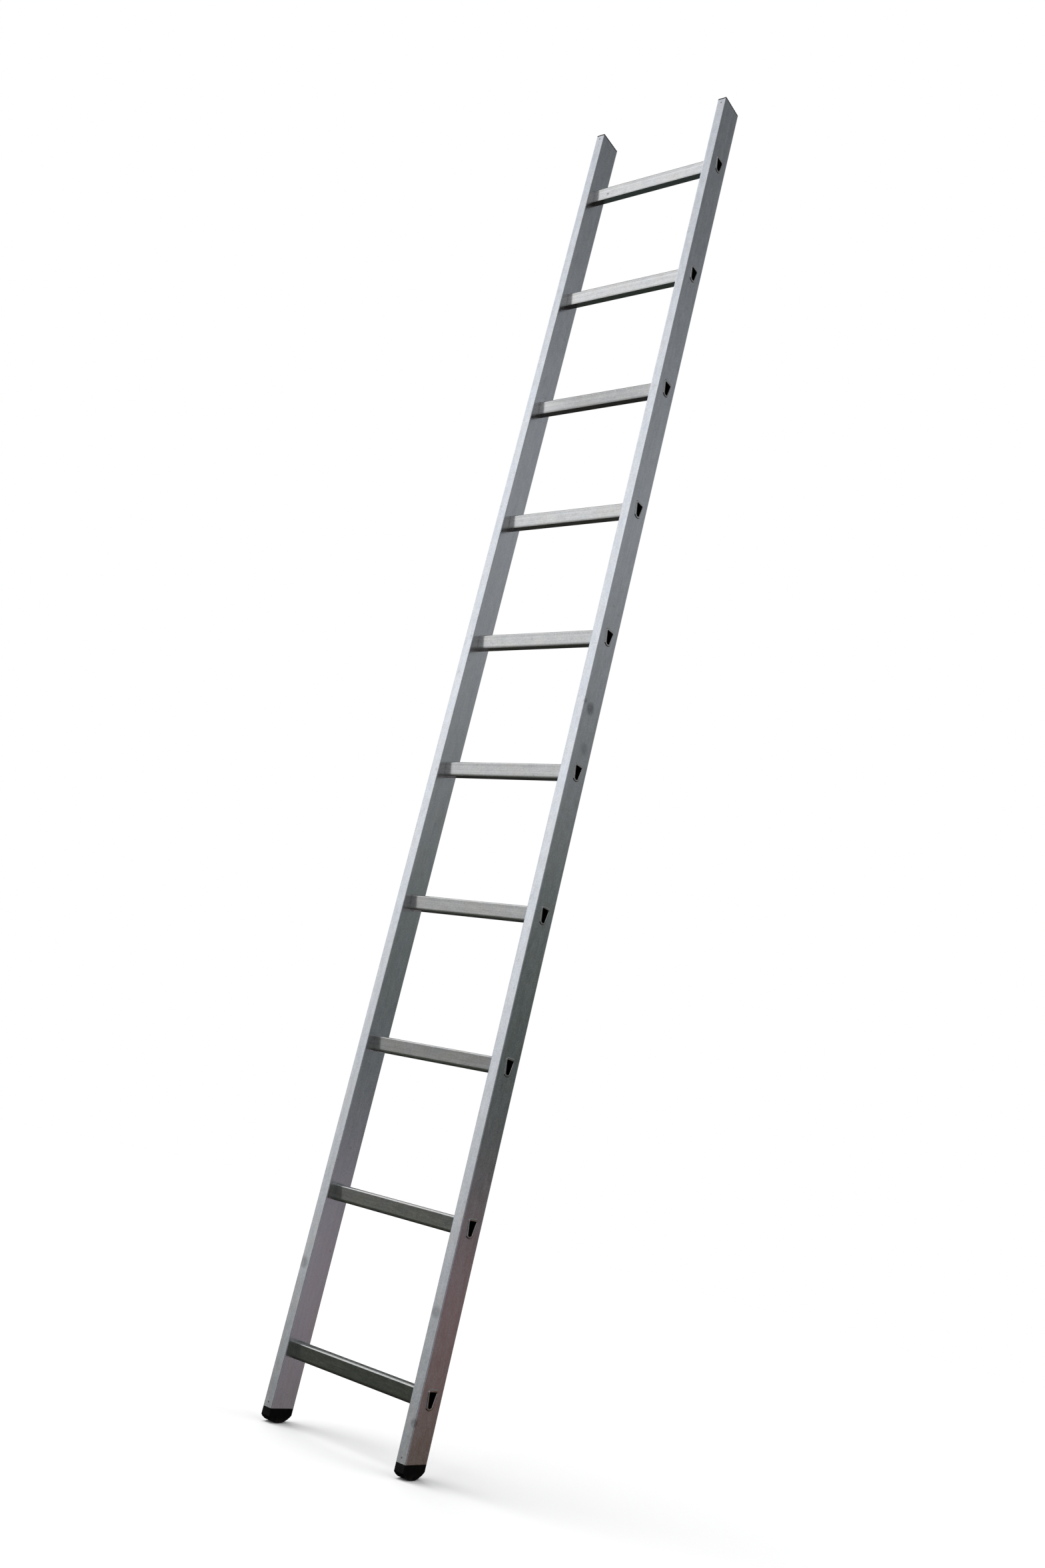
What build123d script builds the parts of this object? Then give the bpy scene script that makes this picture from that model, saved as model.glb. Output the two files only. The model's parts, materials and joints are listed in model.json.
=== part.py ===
from build123d import *
from math import degrees
import os

# A single-section leaning ladder: two box-section stiles, ten hollow rungs that run
# through them, rubber feet and plastic end caps.
# Millimetres. X runs along the rungs, the front faces -Y and +Z runs up the stiles.
# The origin is at the soles' lowest level, midway between the stiles.

os.makedirs("parts", exist_ok=True)

# ---- Driving dimensions -------------------------------------------------------------
RUNG_COUNT = 10
RUNG_PITCH = 280.0
OUTER_WIDTH = 336.0         # over the outer faces of the two stiles
FIRST_TREAD = 139.5         # height of the lowest tread above the soles
METAL_BOTTOM = 25.0         # the stiles' lower ends, and so the feet's visible height
METAL_TOP = 2800.5          # the stiles' upper ends

STILE_WIDTH = 20.7          # along X
STILE_DEPTH = 58.8          # front to back
STILE_WALL = 1.5
STILE_CORNER = 1.8          # outside corner radius

RUNG_HEIGHT = 28.9          # from the flat tread to the flat belly
TREAD_WIDTH = 24.0          # the rung's flat top, front to back
TREAD_CORNER = 2.6
FLANK_DROP = 24.0           # from the tread down to where the sloping flanks start to curve in
FLANK_WIDTH = 16.8          # the rung's width there
BELLY_WIDTH = 13.6          # the belly's width, between the curves
BELLY_CORNER = 0.8

BORE_TOP_WALL = 1.2         # the rung's wall under the tread,
BORE_SIDE_WALL = 1.7        # beside the bore's upper corners,
BORE_LOW_WALL = 3.1         # beside its lower corners,
BORE_BOTTOM_WALL = 1.7      # and under it
BORE_DROP = 24.4            # from the tread down to the bore's lower corners
BORE_TOP_CORNER = 1.6
BORE_LOW_CORNER = 2.4

GROOVE_COUNT = 4            # lengthwise grooves in the tread
GROOVE_PITCH = 3.9
GROOVE_WIDTH = 1.5
GROOVE_DEPTH = 0.5

ROLL_SIDE = 1.2             # the rolled end stands this far out past the tread's corners,
ROLL_TOP = 3.4              # this far past the tread,
ROLL_BOTTOM = 2.1           # this far past the belly
ROLL_THICKNESS = 1.5        # and this far out of the stile's outer face
ROLL_DROP = 27.2            # from the tread down to its lower corners
ROLL_LOW_WIDTH = 18.4       # its width there
ROLL_LOW_CORNER = 2.6
ROLL_EDGE = 1.3             # rounding of its rim outside,
MOUTH_EDGE = 0.9            # and around the rung's open mouth

SOLE_RADIUS = 40.0
SOLE_CENTRE_Y = -1.4        # the sole is a little fuller towards the front
SOLE_GROOVE_COUNT = 6
SOLE_GROOVE_PITCH = 8.0
SOLE_GROOVE_WIDTH = 1.6
SOLE_GROOVE_DEPTH = 0.6
FOOT_PLUG_LENGTH = 45.0

CAP_THICKNESS = 3.8
CAP_PLUG_LENGTH = 22.0
CAP_EDGE = 1.2

PLUG_CLEARANCE = 0.1        # between a plug and the stile's inside
PLUG_SKIN = 2.6             # wall of the hollow plugs
PLUG_CORNER = 0.8

PIN_DIAMETER = 3.2
PIN_LENGTH = 3.2
PIN_SINK = 0.5              # the pin's head lies this far below the stile's face
PIN_INSET = 8.5             # from the stile's end to the pin's axis

# ---- Worked out from them -----------------------------------------------------------
SIDES = {"left": -1, "right": 1}
STILE_X = (OUTER_WIDTH - STILE_WIDTH) / 2
FRONT_Y = -STILE_DEPTH / 2
OUTER_X = OUTER_WIDTH / 2
ROLL_X = OUTER_X + ROLL_THICKNESS
PLUG_WIDTH = STILE_WIDTH - 2 * STILE_WALL - 2 * PLUG_CLEARANCE
PLUG_DEPTH = STILE_DEPTH - 2 * STILE_WALL - 2 * PLUG_CLEARANCE
TREADS = [FIRST_TREAD + RUNG_PITCH * i for i in range(RUNG_COUNT)]
PIN_HEIGHTS = [METAL_BOTTOM + PIN_INSET, METAL_TOP - PIN_INSET]


def upright(width, depth, low, high, corner):
    """An upright bar on the Z axis with its four upright edges rounded."""
    section = Plane.XY.offset(low) * RectangleRounded(width, depth, corner)
    return extrude(section, high - low)


def across(outline, from_x, to_x, height=0.0):
    """Extrude an outline drawn in Y and Z along X, with its zero level at a height."""
    plane = Plane(origin=(from_x, 0, height), x_dir=(0, 1, 0), z_dir=(1, 0, 0))
    return extrude(plane * outline, to_x - from_x)


# ---- Rungs --------------------------------------------------------------------------
def tube_outline():
    """The outside of the rung's tube, and the hole for it in each stile."""
    half_top = TREAD_WIDTH / 2
    half_low = FLANK_WIDTH / 2
    half_belly = BELLY_WIDTH / 2
    slope = (half_low - half_top, -FLANK_DROP)
    right = [
        Line((half_top, 0), (half_low, -FLANK_DROP)),
        TangentArc((half_low, -FLANK_DROP), (half_belly, -RUNG_HEIGHT), tangent=slope),
    ]
    left = [mirror(edge, about=Plane.YZ) for edge in right]
    tread = Line((-half_top, 0), (half_top, 0))
    belly = Line((half_belly, -RUNG_HEIGHT), (-half_belly, -RUNG_HEIGHT))
    face = make_face([tread, *right, belly, *left])
    face = fillet(face.vertices().group_by(Axis.Y)[-1], TREAD_CORNER)
    return fillet(face.vertices().group_by(Axis.Y)[0], BELLY_CORNER)


def rounded_taper(top_width, top, flank_width, flank_drop, bottom, top_corner, low_corner):
    """A flat top, flanks that slope in, and a curved bottom. Heights are from the tread."""
    half_top = top_width / 2
    half_low = flank_width / 2
    edges = [
        Line((-half_top, top), (half_top, top)),
        Line((half_top, top), (half_low, -flank_drop)),
        ThreePointArc((half_low, -flank_drop), (0, -bottom), (-half_low, -flank_drop)),
        Line((-half_low, -flank_drop), (-half_top, top)),
    ]
    face = make_face(edges)
    face = fillet(face.vertices().group_by(Axis.Y)[-1], top_corner)
    return fillet(face.vertices().group_by(Axis.Y)[0], low_corner)


def bore_outline():
    """The inside of the rung's tube, whose walls thicken towards the belly."""
    return rounded_taper(
        TREAD_WIDTH - 2 * BORE_SIDE_WALL,
        -BORE_TOP_WALL,
        FLANK_WIDTH - 2 * BORE_LOW_WALL,
        BORE_DROP,
        RUNG_HEIGHT - BORE_BOTTOM_WALL,
        BORE_TOP_CORNER,
        BORE_LOW_CORNER,
    )


def roll_outline():
    """The outside of the rolled end."""
    return rounded_taper(
        TREAD_WIDTH + 2 * ROLL_SIDE,
        ROLL_TOP,
        ROLL_LOW_WIDTH,
        ROLL_DROP,
        RUNG_HEIGHT + ROLL_BOTTOM,
        TREAD_CORNER + ROLL_SIDE,
        ROLL_LOW_CORNER,
    )


def make_rung(tread):
    """A hollow rung with a grooved tread and both ends rolled over against the stiles."""
    rung = across(tube_outline(), -OUTER_X, OUTER_X, tread)
    for i in range(GROOVE_COUNT):
        groove_y = (i - (GROOVE_COUNT - 1) / 2) * GROOVE_PITCH
        rung -= Pos(0, groove_y, tread) * Box(OUTER_WIDTH, GROOVE_WIDTH, 2 * GROOVE_DEPTH)
    rung += across(roll_outline(), -ROLL_X, -OUTER_X, tread)
    rung += across(roll_outline(), OUTER_X, ROLL_X, tread)
    rims = [edge for edge in rung.edges() if abs(edge.center().X) > ROLL_X - 0.01]
    rung = fillet(rims, ROLL_EDGE)
    rung -= across(bore_outline(), -ROLL_X, ROLL_X, tread)
    ends = rung.faces().sort_by(Axis.X)
    mouths = ends[0].inner_wires()[0].edges() + ends[-1].inner_wires()[0].edges()
    return fillet(mouths, MOUTH_EDGE)


# ---- Stiles, and what closes their ends ---------------------------------------------
def pin_hole(height, diameter=PIN_DIAMETER, length=STILE_DEPTH / 3):
    """A round bar through the middle of the stile's front wall."""
    middle = Pos(0, FRONT_Y + length / 2, height)
    return middle * Rot(90, 0, 0) * Cylinder(diameter / 2, length)


def make_stile(side):
    """A rectangular tube with a shaped hole for each rung and a small one for each pin."""
    corner_inside = STILE_CORNER - STILE_WALL / 2
    stile = upright(STILE_WIDTH, STILE_DEPTH, METAL_BOTTOM, METAL_TOP, STILE_CORNER)
    stile -= upright(
        STILE_WIDTH - 2 * STILE_WALL, STILE_DEPTH - 2 * STILE_WALL, METAL_BOTTOM, METAL_TOP, corner_inside
    )
    for tread in TREADS:
        stile -= across(tube_outline(), -STILE_WIDTH, STILE_WIDTH, tread)
    for height in PIN_HEIGHTS:
        stile -= pin_hole(height)
    return Pos(side * STILE_X, 0, 0) * stile


def sole_outline():
    """Upright front and back, closed below by one arc that touches the ground level."""
    body = Pos(0, METAL_BOTTOM / 2) * Rectangle(STILE_DEPTH, METAL_BOTTOM)
    return body & Pos(SOLE_CENTRE_Y, SOLE_RADIUS) * Circle(SOLE_RADIUS)


def hollow_plug(low, high, open_end):
    """A plug that fits a stile's end, hollow and open on one side."""
    plug = upright(PLUG_WIDTH, PLUG_DEPTH, low, high, PLUG_CORNER)
    inside_width = PLUG_WIDTH - 2 * PLUG_SKIN
    inside_depth = PLUG_DEPTH - 2 * PLUG_SKIN
    floor = PLUG_SKIN if open_end == "top" else 0
    roof = PLUG_SKIN if open_end == "bottom" else 0
    return plug - upright(inside_width, inside_depth, low + floor, high - roof, PLUG_CORNER)


def make_foot(side):
    """A rubber foot: a grooved, rounded sole under the stile and a plug inside it."""
    half = STILE_WIDTH / 2
    sole = across(sole_outline(), -half, half)
    sole &= upright(STILE_WIDTH, STILE_DEPTH, 0, METAL_BOTTOM, STILE_CORNER)
    for i in range(SOLE_GROOVE_COUNT):
        shift = (i - (SOLE_GROOVE_COUNT - 1) / 2) * SOLE_GROOVE_PITCH
        turn = Pos(0, SOLE_CENTRE_Y, SOLE_RADIUS) * Rot(degrees(shift / SOLE_RADIUS), 0, 0)
        groove = Box(2 * STILE_WIDTH, SOLE_GROOVE_WIDTH, 2 * SOLE_GROOVE_DEPTH)
        sole -= turn * Pos(0, 0, -SOLE_RADIUS) * groove
    plug = hollow_plug(METAL_BOTTOM, METAL_BOTTOM + FOOT_PLUG_LENGTH, "top")
    foot = sole + plug - pin_hole(PIN_HEIGHTS[0], length=PIN_SINK + PIN_LENGTH)
    return Pos(side * STILE_X, 0, 0) * foot


def make_end_cap(side):
    """A plastic cap: a thin lid flush with the stile and a plug inside it."""
    lid = upright(STILE_WIDTH, STILE_DEPTH, METAL_TOP, METAL_TOP + CAP_THICKNESS, STILE_CORNER)
    lid = fillet(lid.faces().sort_by(Axis.Z)[-1].edges(), CAP_EDGE)
    plug = hollow_plug(METAL_TOP - CAP_PLUG_LENGTH, METAL_TOP, "bottom")
    cap = lid + plug - pin_hole(PIN_HEIGHTS[1], length=PIN_SINK + PIN_LENGTH)
    return Pos(side * STILE_X, 0, 0) * cap


def make_drive_pins():
    """One pin near each stile end, driven through the front wall into the plug."""
    pins = []
    for side in SIDES.values():
        for height in PIN_HEIGHTS:
            middle = Pos(side * STILE_X, FRONT_Y + PIN_SINK + PIN_LENGTH / 2, height)
            pins.append(middle * Rot(90, 0, 0) * Cylinder(PIN_DIAMETER / 2, PIN_LENGTH))
    return Compound(children=pins)


# ---- Write every node ---------------------------------------------------------------
for side_name, side_sign in SIDES.items():
    export_step(make_stile(side_sign), f"parts/stile_{side_name}.step")
    export_step(make_foot(side_sign), f"parts/foot_{side_name}.step")
    export_step(make_end_cap(side_sign), f"parts/end_cap_{side_name}.step")

for number, tread_height in enumerate(TREADS, start=1):
    export_step(make_rung(tread_height), f"parts/rung_{number:02d}.step")

export_step(make_drive_pins(), "parts/drive_pins.step")
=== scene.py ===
import json
from math import radians, sin

import bpy
from mathutils import Matrix, Vector


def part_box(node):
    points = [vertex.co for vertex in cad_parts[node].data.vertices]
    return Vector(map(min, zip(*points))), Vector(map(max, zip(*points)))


# Looks for a single-section aluminium ladder. Metres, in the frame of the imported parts:
# X runs along the rungs, the front faces -Y and +Z runs up the stiles.

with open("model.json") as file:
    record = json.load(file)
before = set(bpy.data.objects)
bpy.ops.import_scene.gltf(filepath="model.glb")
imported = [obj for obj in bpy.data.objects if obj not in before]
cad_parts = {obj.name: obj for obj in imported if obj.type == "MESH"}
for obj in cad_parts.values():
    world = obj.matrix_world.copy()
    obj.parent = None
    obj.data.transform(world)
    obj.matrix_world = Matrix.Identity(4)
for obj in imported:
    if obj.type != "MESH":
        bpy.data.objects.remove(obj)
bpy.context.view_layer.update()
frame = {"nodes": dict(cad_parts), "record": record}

# ---- Sizes read from the parts --------------------------------------------------------
MOUNTS = {mount["name"]: Vector(mount["pos_m"]) for mount in frame["record"]["mounts"]}
FIRST_TREAD = MOUNTS["tread_01"].z
RUNG_COUNT = sum(name.startswith("rung_") for name in frame["nodes"])
RUNG_PITCH = (MOUNTS["tread_10"].z - FIRST_TREAD) / (RUNG_COUNT - 1)
OUTER_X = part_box("stile_right")[1].x
FRONT_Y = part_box("stile_right")[0].y

# ---- Camera ---------------------------------------------------------------------------
CAMERA_PLACE = Vector((1.6417, -2.0218, 0.5076))
CAMERA_HEADING = radians(38.27)     # from +Y towards -X
CAMERA_PITCH = radians(15.47)
CAMERA_ROLL = radians(13.69)
CAMERA_LENS = 31.77                 # for a 36 mm sensor along the picture's long side


def make_camera():
    """The camera stands to the right of the ladder at knee height and looks up along it."""
    data = bpy.data.cameras.new("camera")
    data.lens = CAMERA_LENS
    data.sensor_fit = "AUTO"
    data.sensor_width = 36.0
    data.clip_start = 0.05
    data.clip_end = 60.0
    camera = bpy.data.objects.new("camera", data)
    heading = Matrix.Rotation(CAMERA_HEADING, 4, "Z")
    pitch = Matrix.Rotation(radians(90) + CAMERA_PITCH, 4, "X")
    roll = Matrix.Rotation(CAMERA_ROLL, 4, "Z")
    camera.matrix_world = Matrix.Translation(CAMERA_PLACE) @ heading @ pitch @ roll
    bpy.context.scene.collection.objects.link(camera)
    bpy.context.scene.camera = camera


# ---- Node trees -----------------------------------------------------------------------
class Tree:
    """A node tree built by short calls, each of which gives back an output socket."""

    def __init__(self, owner):
        owner.use_nodes = True
        self.tree = owner.node_tree
        self.tree.nodes.clear()

    def node(self, kind, inputs=(), **settings):
        made = self.tree.nodes.new(kind)
        for name, value in settings.items():
            setattr(made, name, value)
        for name, value in dict(inputs).items():
            self.feed(made.inputs[name], value)
        return made

    def feed(self, socket, value):
        if isinstance(value, bpy.types.NodeSocket):
            self.tree.links.new(value, socket)
        else:
            socket.default_value = value

    def math(self, operation, a, b=0.0, c=0.0, clamp=False):
        made = self.node("ShaderNodeMath", {0: a, 1: b, 2: c}, operation=operation, use_clamp=clamp)
        return made.outputs[0]

    def vector(self, operation, a, b=(0.0, 0.0, 0.0)):
        made = self.node("ShaderNodeVectorMath", {0: a, 1: b}, operation=operation)
        return made.outputs["Value" if operation in ("DOT_PRODUCT", "LENGTH") else "Vector"]

    def split(self, vector):
        return self.node("ShaderNodeSeparateXYZ", {0: vector}).outputs

    def noise(self, vector, scale, detail=2.0, roughness=0.5, distortion=0.0):
        inputs = {"Vector": vector, "Scale": scale, "Detail": detail}
        inputs.update({"Roughness": roughness, "Distortion": distortion})
        return self.node("ShaderNodeTexNoise", inputs).outputs["Fac"]

    def step(self, value, low, high, out_low=0.0, out_high=1.0):
        """A smooth step from low to high."""
        inputs = {"Value": value, "From Min": low, "From Max": high, "To Min": out_low, "To Max": out_high}
        made = self.node("ShaderNodeMapRange", inputs, interpolation_type="SMOOTHSTEP")
        return made.outputs["Result"]

    def spread(self, value, low, high, out_low=0.0, out_high=1.0):
        """A straight, clamped remap."""
        inputs = {"Value": value, "From Min": low, "From Max": high, "To Min": out_low, "To Max": out_high}
        return self.node("ShaderNodeMapRange", inputs, interpolation_type="LINEAR").outputs["Result"]

    def ramp(self, value, stops):
        """A colour ramp through (place, colour) stops."""
        made = self.node("ShaderNodeValToRGB", {"Fac": value})
        elements = made.color_ramp.elements
        while len(elements) < len(stops):
            elements.new(1.0)
        for element, (place, colour) in zip(elements, stops):
            element.position = place
            element.color = (*colour, 1.0)
        return made.outputs["Color"]

    def mix(self, amount, a, b, blend="MIX"):
        made = self.node("ShaderNodeMix", data_type="RGBA", blend_type=blend)
        self.feed(made.inputs["Factor"], amount)
        self.feed(made.inputs[6], a)
        self.feed(made.inputs[7], b)
        return made.outputs[2]

    def product(self, first, *others):
        for other in others:
            first = self.math("MULTIPLY", first, other)
        return first

    def total(self, first, *others):
        for other in others:
            first = self.math("ADD", first, other)
        return first

    def scaled(self, colour, amount):
        """A colour times a number."""
        made = self.node("ShaderNodeVectorMath", {0: colour, "Scale": amount}, operation="SCALE")
        return made.outputs["Vector"]


def grey(value):
    return (value, value, value, 1.0)


# Tint for tight corners: partly real grime, partly painted contact shade.
DIRT_AND_SHADE = (0.060, 0.054, 0.046, 1.0)
# Painted shade: near black for deep hollows such as the rungs' bores.
HOLLOW_SHADE = (0.010, 0.010, 0.010, 1.0)
STILE_TONE = (0.81, 0.83, 0.86)
RUNG_TONE = (0.735, 0.732, 0.72)

# Single dark marks, as (centre, radius, depth), and lengthwise lighter and darker lines along
# a rung's side, as (height over the tread, half width, how much lighter).
STILE_MARKS = [
    (Vector((OUTER_X, -0.006, FIRST_TREAD + 4.41 * RUNG_PITCH)), 0.017, 0.50),
    (Vector((OUTER_X, -0.026, FIRST_TREAD + 4.44 * RUNG_PITCH)), 0.007, 0.35),
    (Vector((OUTER_X, 0.004, FIRST_TREAD + 4.13 * RUNG_PITCH)), 0.016, 0.25),
    (Vector((OUTER_X - 0.010, FRONT_Y, FIRST_TREAD + 0.44 * RUNG_PITCH)), 0.013, 0.35),
    (Vector((OUTER_X - 0.002, FRONT_Y, FIRST_TREAD - 0.18 * RUNG_PITCH)), 0.010, 0.45),
    (Vector((-OUTER_X + 0.007, FRONT_Y, FIRST_TREAD + 0.48 * RUNG_PITCH)), 0.014, 0.35),
]
RUNG_MARKS = [
    (Vector((-0.110, -0.011, FIRST_TREAD + 9 * RUNG_PITCH - 0.018)), 0.0045, 0.70),
    (Vector((0.030, -0.011, FIRST_TREAD + 7 * RUNG_PITCH - 0.016)), 0.200, 0.34),
]
RUNG_SIDE_LINES = [(-0.0058, 0.0026, -0.12), (-0.0098, 0.0011, 0.10), (-0.0160, 0.0010, -0.08)]


# ---- Studio ---------------------------------------------------------------------------
# What the metal mirrors, as (degrees above the horizon, colour): a room that is brightest
# a little above eye level, over a dark ground and under a dimmer ceiling.
FRONT_SKY = [
    (-90, (0.014, 0.014, 0.013)),
    (-45, (0.018, 0.018, 0.016)),
    (-32, (0.026, 0.027, 0.023)),
    (-26, (0.046, 0.050, 0.040)),
    (-19, (0.052, 0.060, 0.048)),
    (-16, (0.078, 0.084, 0.074)),
    (-12, (0.230, 0.232, 0.226)),
    (-5, (0.420, 0.423, 0.426)),
    (1, (0.640, 0.650, 0.665)),
    (10, (0.800, 0.815, 0.840)),
    (18, (0.930, 0.945, 0.980)),
    (34, (0.830, 0.842, 0.872)),
    (41, (0.670, 0.686, 0.725)),
    (48, (0.560, 0.566, 0.580)),
    (56, (0.220, 0.220, 0.220)),
    (90, (0.200, 0.200, 0.200)),
]
BACK_SKY = [
    (-90, (0.010, 0.009, 0.008)),
    (-20, (0.016, 0.014, 0.012)),
    (-14, (0.058, 0.032, 0.003)),
    (-9, (0.066, 0.035, 0.003)),
    (-5, (0.230, 0.100, 0.098)),
    (-1, (0.046, 0.060, 0.052)),
    (8, (0.060, 0.078, 0.064)),
    (18, (0.190, 0.195, 0.198)),
    (27, (0.290, 0.303, 0.318)),
    (42, (0.125, 0.132, 0.138)),
    (90, (0.200, 0.200, 0.200)),
]
SIDE_SKY = [
    (-90, (0.010, 0.009, 0.008)),
    (-25, (0.016, 0.014, 0.014)),
    (-12, (0.200, 0.192, 0.206)),
    (-4, (0.430, 0.410, 0.480)),
    (1, (0.130, 0.145, 0.158)),
    (8, (0.150, 0.166, 0.160)),
    (20, (0.320, 0.325, 0.333)),
    (27, (0.315, 0.325, 0.340)),
    (42, (0.110, 0.116, 0.122)),
    (90, (0.200, 0.200, 0.200)),
]
LEFT_SKY = [
    (-90, (0.030, 0.034, 0.032)),
    (-39, (0.034, 0.046, 0.042)),
    (-31, (0.029, 0.028, 0.025)),
    (-20, (0.025, 0.025, 0.022)),
    (-6, (0.026, 0.027, 0.025)),
    (2, (0.038, 0.052, 0.050)),
    (12, (0.052, 0.068, 0.064)),
    (22, (0.230, 0.230, 0.228)),
    (32, (0.850, 0.840, 0.820)),
    (47, (1.000, 0.985, 0.960)),
    (52, (0.200, 0.198, 0.194)),
    (90, (0.180, 0.180, 0.180)),
]
# Azimuths, from +Y towards +X.
BACK_END = radians(38)              # the back sky turns into the side sky,
SIDE_START = radians(43)
SIDE_END = radians(88)              # the side sky into the dim half of the front,
DIM_START = radians(128)
DIM_END = radians(150)              # and that into the bright half
BRIGHT_START = radians(185)
BRIGHT_END = radians(256)           # the bright half ends,
LEFT_START = radians(286)           # turns into the left sky,
LEFT_END = radians(322)             # and that into the back sky
LEFT_GONE = radians(342)
SEAM = radians(-10)                 # azimuths run on from here, all the way round
DIM_FRONT = 0.30                    # how bright the dim half is above DIM_TOP
DIM_GROUND = 0.85                   # and on the ground below DIM_BOTTOM
DIM_BOTTOM = radians(-20)
DIM_TOP = radians(-8)
WINDOW_START = radians(228)         # a high window on the left,
WINDOW_FULL = radians(246)
WINDOW_LOW = radians(24)            # between these heights
WINDOW_HIGH = radians(50)
WINDOW_BLUR = 0.15                  # how softly it starts at the bottom, as a rise in z
WINDOW_GAIN = 1.70
BACKDROP = 1.0

# Large soft lights on the floor and the black parts, as (direction, angle, strength).
LIGHTS = [
    (Vector((-0.45, -0.95, 1.30)), radians(50), 2.10),
    (Vector((-1.00, 0.00, 1.50)), radians(56), 1.00),
    (Vector((0.90, 0.30, 1.50)), radians(56), 0.85),
]
FLOOR_HALF = 8.0
FLOOR_TONE = (0.775, 0.773, 0.770, 1.0)
FLOOR_GLOW = 0.02


def make_sky(tree, height, stops):
    places = [((sin(radians(angle)) + 1) / 2, colour) for angle, colour in stops]
    return tree.ramp(height, places)


def make_world():
    """A white backdrop to the camera, and to everything else a soft, darker-below studio."""
    world = bpy.data.worlds.new("studio")
    bpy.context.scene.world = world
    tree = Tree(world)
    direction = tree.node("ShaderNodeTexCoord").outputs["Generated"]
    x, y, z = tree.split(direction)
    height = tree.spread(z, -1.0, 1.0)
    azimuth = tree.math("WRAP", tree.math("ARCTAN2", x, y), SEAM + radians(360), SEAM)
    behind = tree.mix(
        tree.step(azimuth, BACK_END, SIDE_START),
        make_sky(tree, height, BACK_SKY),
        make_sky(tree, height, SIDE_SKY),
    )
    is_left = tree.product(
        tree.step(azimuth, BRIGHT_END, LEFT_START),
        tree.step(azimuth, LEFT_END, LEFT_GONE, 1.0, 0.0),
    )
    behind = tree.mix(is_left, behind, make_sky(tree, height, LEFT_SKY))
    dim = tree.step(z, sin(DIM_BOTTOM), sin(DIM_TOP), DIM_GROUND, DIM_FRONT)
    bright = tree.step(azimuth, DIM_END, BRIGHT_START, dim, 1.0)
    window = tree.product(
        tree.step(azimuth, WINDOW_START, WINDOW_FULL),
        tree.step(z, sin(WINDOW_LOW), sin(WINDOW_LOW) + WINDOW_BLUR),
        tree.step(z, sin(WINDOW_HIGH) - 0.02, sin(WINDOW_HIGH) + 0.03, 1.0, 0.0),
    )
    bright = tree.math("MULTIPLY", bright, tree.spread(window, 0.0, 1.0, 1.0, WINDOW_GAIN))
    ahead = tree.scaled(make_sky(tree, height, FRONT_SKY), bright)
    is_ahead = tree.product(
        tree.step(azimuth, SIDE_END, DIM_START),
        tree.step(azimuth, BRIGHT_END, LEFT_START, 1.0, 0.0),
    )
    studio = tree.mix(is_ahead, behind, ahead)
    is_camera = tree.node("ShaderNodeLightPath").outputs["Is Camera Ray"]
    seen = tree.mix(is_camera, studio, grey(BACKDROP))
    background = tree.node("ShaderNodeBackground", {"Color": seen, "Strength": 1.0})
    tree.node("ShaderNodeOutputWorld", {"Surface": background.outputs[0]})


def make_lights():
    """Soft lights from both sides. Metal doesn't mirror them: the sky does that."""
    for number, (direction, angle, strength) in enumerate(LIGHTS, 1):
        data = bpy.data.lights.new(f"light_{number}", "SUN")
        data.angle = angle
        data.energy = strength
        light = bpy.data.objects.new(f"light_{number}", data)
        light.rotation_mode = "QUATERNION"
        light.rotation_quaternion = direction.to_track_quat("Z", "Y")
        light.visible_glossy = False
        bpy.context.scene.collection.objects.link(light)


def make_floor():
    """A pale floor. It shows to the camera only, so that the rungs' undersides stay dark."""
    half = FLOOR_HALF
    mesh = bpy.data.meshes.new("floor")
    corners = [(-half, -half, 0), (half, -half, 0), (half, half, 0), (-half, half, 0)]
    mesh.from_pydata(corners, [], [(0, 1, 2, 3)])
    floor = bpy.data.objects.new("floor", mesh)
    floor.visible_glossy = False
    floor.visible_diffuse = False
    material = bpy.data.materials.new("floor")
    tree = Tree(material)
    surface = tree.node("ShaderNodeBsdfPrincipled", {"Base Color": FLOOR_TONE, "Roughness": 1.0})
    surface.inputs["Specular IOR Level"].default_value = 0.0
    surface.inputs["Emission Color"].default_value = grey(1.0)
    surface.inputs["Emission Strength"].default_value = FLOOR_GLOW
    tree.node("ShaderNodeOutputMaterial", {"Surface": surface.outputs[0]})
    mesh.materials.append(material)
    bpy.context.scene.collection.objects.link(floor)


# ---- Materials ------------------------------------------------------------------------
def principled(tree, **settings):
    """The shader and its output. Settings are numbers or colours that are even all over."""
    shader = tree.node("ShaderNodeBsdfPrincipled")
    for name, value in settings.items():
        shader.inputs[name.replace("_", " ")].default_value = value
    tree.node("ShaderNodeOutputMaterial", {"Surface": shader.outputs[0]})
    return shader


def object_place(tree):
    return tree.node("ShaderNodeTexCoord").outputs["Object"]


def over_tread(tree, place):
    """The height over the nearest tread, from half a pitch below it to half above."""
    z = tree.split(place)[2]
    half = RUNG_PITCH / 2
    return tree.math("WRAP", tree.math("SUBTRACT", z, FIRST_TREAD), half, -half)


def crevice(tree, reach, low=0.35, high=0.85):
    """1 deep in a corner or a hole, 0 in the open."""
    open_sky = tree.node("ShaderNodeAmbientOcclusion", {"Distance": reach}, samples=6)
    return tree.step(open_sky.outputs["AO"], low, high, 1.0, 0.0)


def spot(tree, place, centre, radius):
    """1 at a centre, fading to 0 at the radius."""
    gap = tree.vector("LENGTH", tree.vector("SUBTRACT", place, centre))
    return tree.step(gap, radius * 0.35, radius, 1.0, 0.0)


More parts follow.
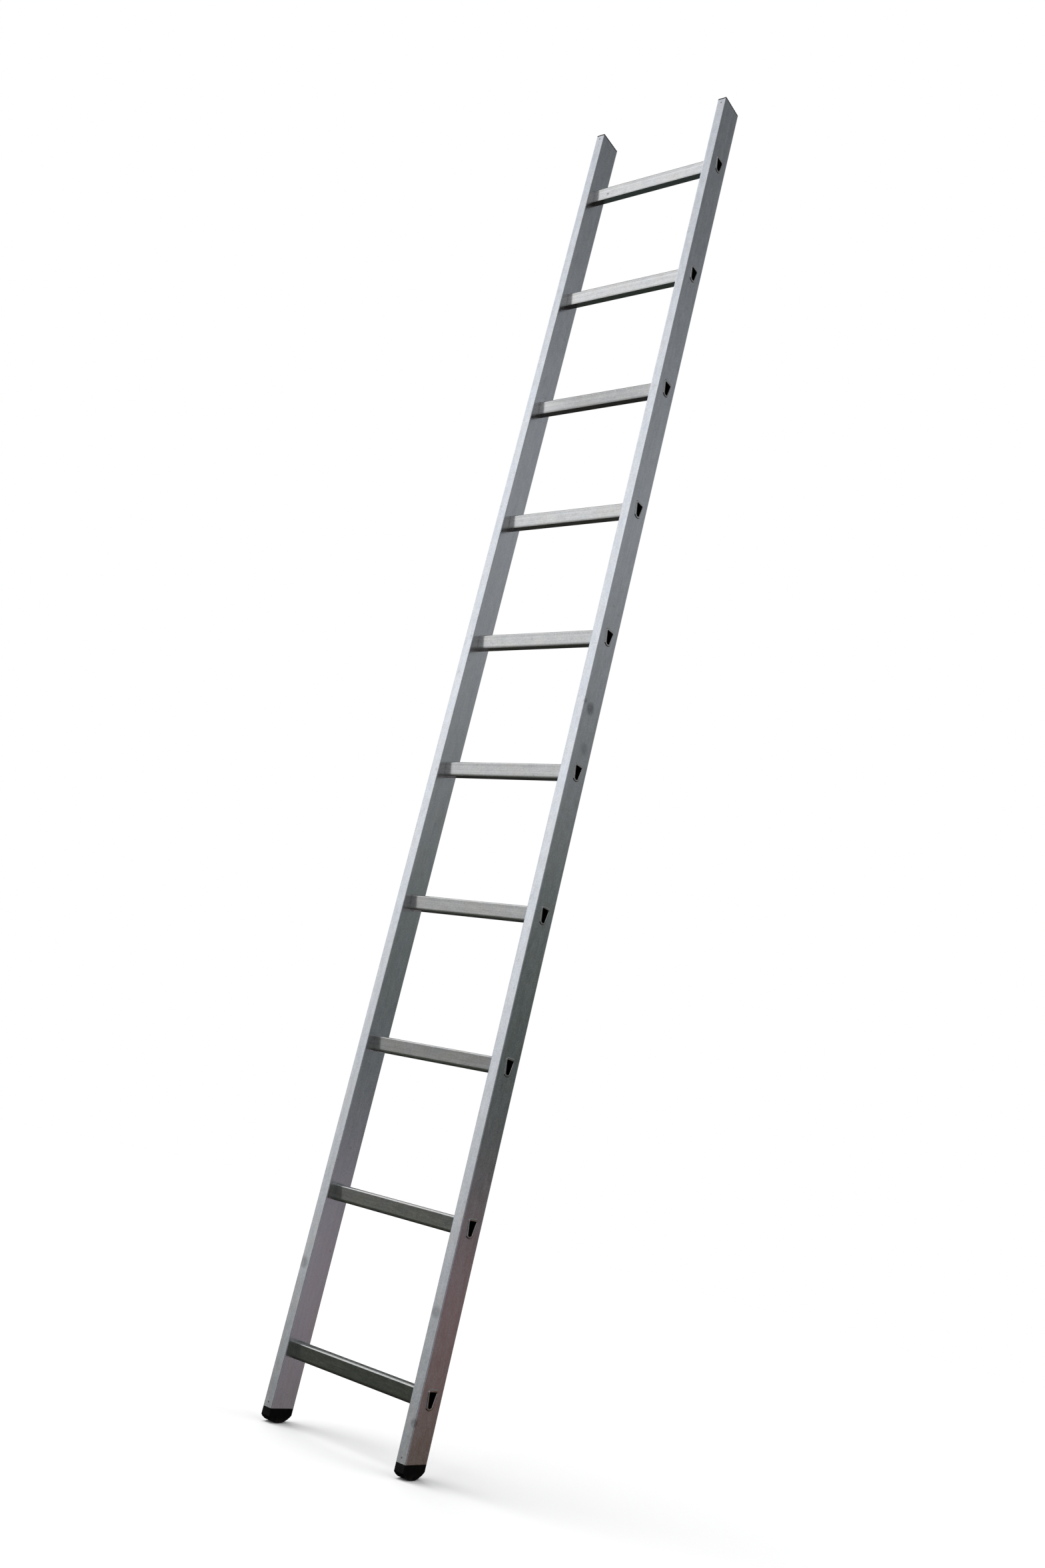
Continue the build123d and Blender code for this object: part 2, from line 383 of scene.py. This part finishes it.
def make_aluminium(name, tone, along, gloss, streaks, marks, side_lines=(), tread_wear=0.0):
    """Mill-finish extrusion, lightly weathered, with painted shade in its corners and deep hollows. along
    is 0, 1 or 2 for X, Y or Z.

    gloss is its mean roughness, streaks the depth of its lengthwise bands, and marks are
    (centre, radius, depth) of single dark marks. side_lines are lengthwise lines on the rungs, as
    (height over the tread, half width, how much lighter). tread_wear is how scuffed the treads are.
    """
    material = bpy.data.materials.new(name)
    tree = Tree(material)
    shader = principled(tree, Metallic=1.0)
    place = object_place(tree)

    def stretched(across_scale, along_scale):
        scales = [across_scale] * 3
        scales[along] = along_scale
        return tree.vector("MULTIPLY", place, tuple(scales))

    # What the die, the rolling and the weather leave.
    fine_lines = tree.noise(stretched(1500.0, 4.0), 1.0, detail=2.0, roughness=0.6)
    broad_lines = tree.noise(stretched(230.0, 0.9), 1.0, detail=3.0, roughness=0.55)
    oxide = tree.noise(stretched(380.0, 260.0), 1.0, detail=4.0, roughness=0.68)
    bloom = tree.noise(stretched(105.0, 40.0), 1.0, detail=4.0, roughness=0.6, distortion=0.3)
    drift = tree.noise(stretched(9.0, 3.0), 1.0, detail=2.0)
    hue = tree.noise(stretched(60.0, 30.0), 1.0, detail=3.0, roughness=0.6)
    # What use leaves, with painted shade in the tight corners and the deep hollows.
    patches = tree.noise(place, 11.0, detail=2.0)
    scratch_noise = tree.noise(stretched(1900.0, 22.0), 1.0, detail=1.0)
    scratches = tree.step(scratch_noise, 0.70, 0.76)
    scratches = tree.math("MULTIPLY", scratches, tree.step(patches, 0.46, 0.60))
    smudge_noise = tree.noise(place, 70.0, detail=3.0, roughness=0.65)
    smudges = tree.step(smudge_noise, 0.60, 0.74)
    smudges = tree.math("MULTIPLY", smudges, tree.step(patches, 0.55, 0.40))
    pit_size = tree.node("ShaderNodeTexVoronoi", {"Vector": place, "Scale": 130.0})
    pits = tree.step(pit_size.outputs["Distance"], 0.05, 0.13, 1.0, 0.0)
    pits = tree.math("MULTIPLY", pits, tree.step(bloom, 0.50, 0.60))
    # Painted shade, partly real grime: ambient occlusion finds tight corners, such as where the rungs meet
    # the stiles, and darkens them.
    crevice_dirt_and_shade = crevice(tree, 0.004)
    # Painted shade: where ambient occlusion finds deep hollows, such as the rungs' bores, they are
    # coloured near black.
    painted_hollow_shade = crevice(tree, 0.030, 0.10, 0.42)

    shade = tree.product(
        tree.spread(fine_lines, 0.3, 0.7, 0.97, 1.025),
        tree.spread(broad_lines, 0.32, 0.68, 1.0 - streaks, 1.0 + 0.8 * streaks),
        tree.spread(oxide, 0.32, 0.68, 0.87, 1.10),
        tree.spread(bloom, 0.3, 0.7, 0.91, 1.07),
        tree.spread(drift, 0.3, 0.7, 0.96, 1.03),
        tree.spread(scratches, 0.0, 1.0, 1.0, 1.05),
        tree.spread(smudges, 0.0, 1.0, 1.0, 0.84),
        tree.spread(pits, 0.0, 1.0, 1.0, 0.72),
    )
    for centre, radius, depth in marks:
        mark = tree.math("MULTIPLY", spot(tree, place, centre, radius), tree.step(oxide, 0.30, 0.52))
        shade = tree.product(shade, tree.spread(mark, 0.0, 1.0, 1.0, 1.0 - depth))
    roughness = tree.total(
        tree.spread(bloom, 0.3, 0.7, gloss - 0.02, gloss + 0.02),
        tree.spread(fine_lines, 0.3, 0.7, -0.015, 0.015),
        tree.spread(oxide, 0.3, 0.7, -0.02, 0.03),
        tree.spread(scratches, 0.0, 1.0, 0.0, 0.10),
        tree.spread(smudges, 0.0, 1.0, 0.0, 0.14),
        tree.spread(crevice_dirt_and_shade, 0.0, 1.0, 0.0, 0.20),
    )
    height = over_tread(tree, place)
    # Lengthwise lighter and darker lines at set heights over the tread, on every rung's side.
    for level, half_width, amount in side_lines:
        off_line = tree.math("ABSOLUTE", tree.math("SUBTRACT", height, level))
        line = tree.step(off_line, half_width * 0.4, half_width, 1.0, 0.0)
        line = tree.math("MULTIPLY", line, tree.step(broad_lines, 0.30, 0.62))
        shade = tree.product(shade, tree.spread(line, 0.0, 1.0, 1.0, 1.0 + amount))
    if tread_wear:
        # Shoes scuff the tread and its corners bright.
        worn = tree.step(height, -0.004, -0.0004, 0.0, tread_wear)
        scuffs = tree.noise(tree.vector("MULTIPLY", place, (160.0, 900.0, 900.0)), 1.0, detail=3.0)
        scuffs = tree.math("MULTIPLY", worn, tree.step(scuffs, 0.42, 0.62))
        shade = tree.product(shade, tree.spread(scuffs, 0.0, 1.0, 1.0, 1.10))
        roughness = tree.total(roughness, tree.spread(scuffs, 0.0, 1.0, 0.0, 0.05))
    warmth = tree.ramp(hue, [(0.35, (0.985, 1.0, 1.015)), (0.65, (1.015, 1.0, 0.98))])
    colour = tree.vector("MULTIPLY", tree.scaled(tone, shade), warmth)
    # Tight corners take the mud tint: partly grime, partly painted contact shade.
    colour = tree.mix(tree.math("MULTIPLY", crevice_dirt_and_shade, 0.14), colour, DIRT_AND_SHADE)
    # Painted shade inside the deep hollows.
    colour = tree.mix(painted_hollow_shade, colour, HOLLOW_SHADE)
    tree.feed(shader.inputs["Base Color"], colour)
    tree.feed(shader.inputs["Roughness"], roughness)
    relief = tree.total(
        tree.math("MULTIPLY", fine_lines, 0.35),
        tree.math("MULTIPLY", broad_lines, 0.35),
        tree.math("MULTIPLY", oxide, 0.30),
        tree.math("MULTIPLY", scratches, -0.4),
        tree.math("MULTIPLY", pits, -1.0),
    )
    bump = tree.node("ShaderNodeBump", {"Strength": 0.25, "Distance": 0.00006, "Height": relief})
    tree.feed(shader.inputs["Normal"], bump.outputs[0])
    return material


def make_rubber():
    """Moulded black rubber, dusty and scuffed where it meets the ground."""
    material = bpy.data.materials.new("foot_rubber_look")
    tree = Tree(material)
    shader = principled(tree, Metallic=0.0, Specular_IOR_Level=0.12)
    place = object_place(tree)
    grain = tree.noise(place, 1800.0, detail=2.0)
    clouds = tree.noise(place, 120.0, detail=5.0, roughness=0.65)
    scuff_noise = tree.noise(tree.vector("MULTIPLY", place, (250.0, 250.0, 900.0)), 1.0, detail=3.0)
    scuffs = tree.step(scuff_noise, 0.58, 0.72)
    low = tree.step(tree.split(place)[2], 0.001, 0.012, 1.0, 0.0)
    cover = tree.math("MULTIPLY_ADD", low, 0.55, 0.06)
    dust = tree.math("MULTIPLY", tree.step(clouds, 0.42, 0.66), cover)
    colour = tree.ramp(clouds, [(0.3, (0.0022, 0.0022, 0.0023)), (0.7, (0.0055, 0.0053, 0.0050))])
    colour = tree.mix(tree.math("MULTIPLY", scuffs, 0.5), colour, (0.014, 0.0135, 0.013, 1.0))
    colour = tree.mix(dust, colour, (0.045, 0.040, 0.033, 1.0))
    tree.feed(shader.inputs["Base Color"], colour)
    roughness = tree.total(
        tree.spread(clouds, 0.3, 0.7, 0.55, 0.72),
        tree.math("MULTIPLY", dust, 0.2),
    )
    tree.feed(shader.inputs["Roughness"], roughness)
    relief = tree.total(
        tree.math("MULTIPLY", grain, 0.6),
        tree.math("MULTIPLY", clouds, 0.4),
        tree.math("MULTIPLY", scuffs, -0.5),
    )
    bump = tree.node("ShaderNodeBump", {"Strength": 0.35, "Distance": 0.00015, "Height": relief})
    tree.feed(shader.inputs["Normal"], bump.outputs[0])
    return material


def make_plastic():
    """Moulded black plastic with a fine spark-eroded texture, greying a little outdoors."""
    material = bpy.data.materials.new("cap_plastic_look")
    tree = Tree(material)
    shader = principled(tree, Metallic=0.0, Specular_IOR_Level=0.40)
    place = object_place(tree)
    texture = tree.noise(place, 2600.0, detail=2.0)
    clouds = tree.noise(place, 110.0, detail=4.0)
    scuff_noise = tree.noise(tree.vector("MULTIPLY", place, (1500.0, 180.0, 900.0)), 1.0, detail=2.0)
    scuffs = tree.step(scuff_noise, 0.60, 0.70)
    colour = tree.ramp(clouds, [(0.3, (0.010, 0.010, 0.011)), (0.7, (0.022, 0.022, 0.023))])
    colour = tree.mix(tree.math("MULTIPLY", scuffs, 0.45), colour, (0.055, 0.055, 0.056, 1.0))
    tree.feed(shader.inputs["Base Color"], colour)
    roughness = tree.total(
        tree.spread(clouds, 0.3, 0.7, 0.42, 0.56),
        tree.math("MULTIPLY", scuffs, 0.12),
    )
    tree.feed(shader.inputs["Roughness"], roughness)
    relief = tree.total(tree.math("MULTIPLY", texture, 0.7), tree.math("MULTIPLY", scuffs, -0.5))
    bump = tree.node("ShaderNodeBump", {"Strength": 0.4, "Distance": 0.0001, "Height": relief})
    tree.feed(shader.inputs["Normal"], bump.outputs[0])
    return material


def make_steel():
    """Dull steel pins, darker and a little rusty towards the rim of their hole."""
    material = bpy.data.materials.new("pin_steel_look")
    tree = Tree(material)
    shader = principled(tree, Metallic=1.0)
    place = object_place(tree)
    clouds = tree.noise(place, 1100.0, detail=4.0)
    rust = tree.math("MULTIPLY", tree.step(clouds, 0.40, 0.60), crevice(tree, 0.002, 0.2, 0.9))
    colour = tree.ramp(clouds, [(0.3, (0.24, 0.23, 0.22)), (0.7, (0.46, 0.45, 0.44))])
    colour = tree.mix(rust, colour, (0.10, 0.055, 0.03, 1.0))
    tree.feed(shader.inputs["Base Color"], colour)
    roughness = tree.total(
        tree.spread(clouds, 0.3, 0.7, 0.28, 0.46),
        tree.math("MULTIPLY", rust, 0.3),
    )
    tree.feed(shader.inputs["Roughness"], roughness)
    bump = tree.node("ShaderNodeBump", {"Strength": 0.3, "Distance": 0.00005, "Height": clouds})
    tree.feed(shader.inputs["Normal"], bump.outputs[0])
    return material


def paint(prefixes, material):
    for name, node in frame["nodes"].items():
        if name.startswith(prefixes):
            for slot in node.material_slots:
                slot.material = material


make_camera()
make_world()
make_lights()
make_floor()
stile_look = make_aluminium("stile_look", STILE_TONE, 2, 0.24, 0.040, STILE_MARKS)
rung_look = make_aluminium("rung_look", RUNG_TONE, 0, 0.17, 0.08, RUNG_MARKS, RUNG_SIDE_LINES, 1.0)
paint(("stile_",), stile_look)
paint(("rung_",), rung_look)
paint(("foot_",), make_rubber())
paint(("end_cap_",), make_plastic())
paint(("drive_pins",), make_steel())

bpy.context.scene.view_settings.view_transform = "Standard"
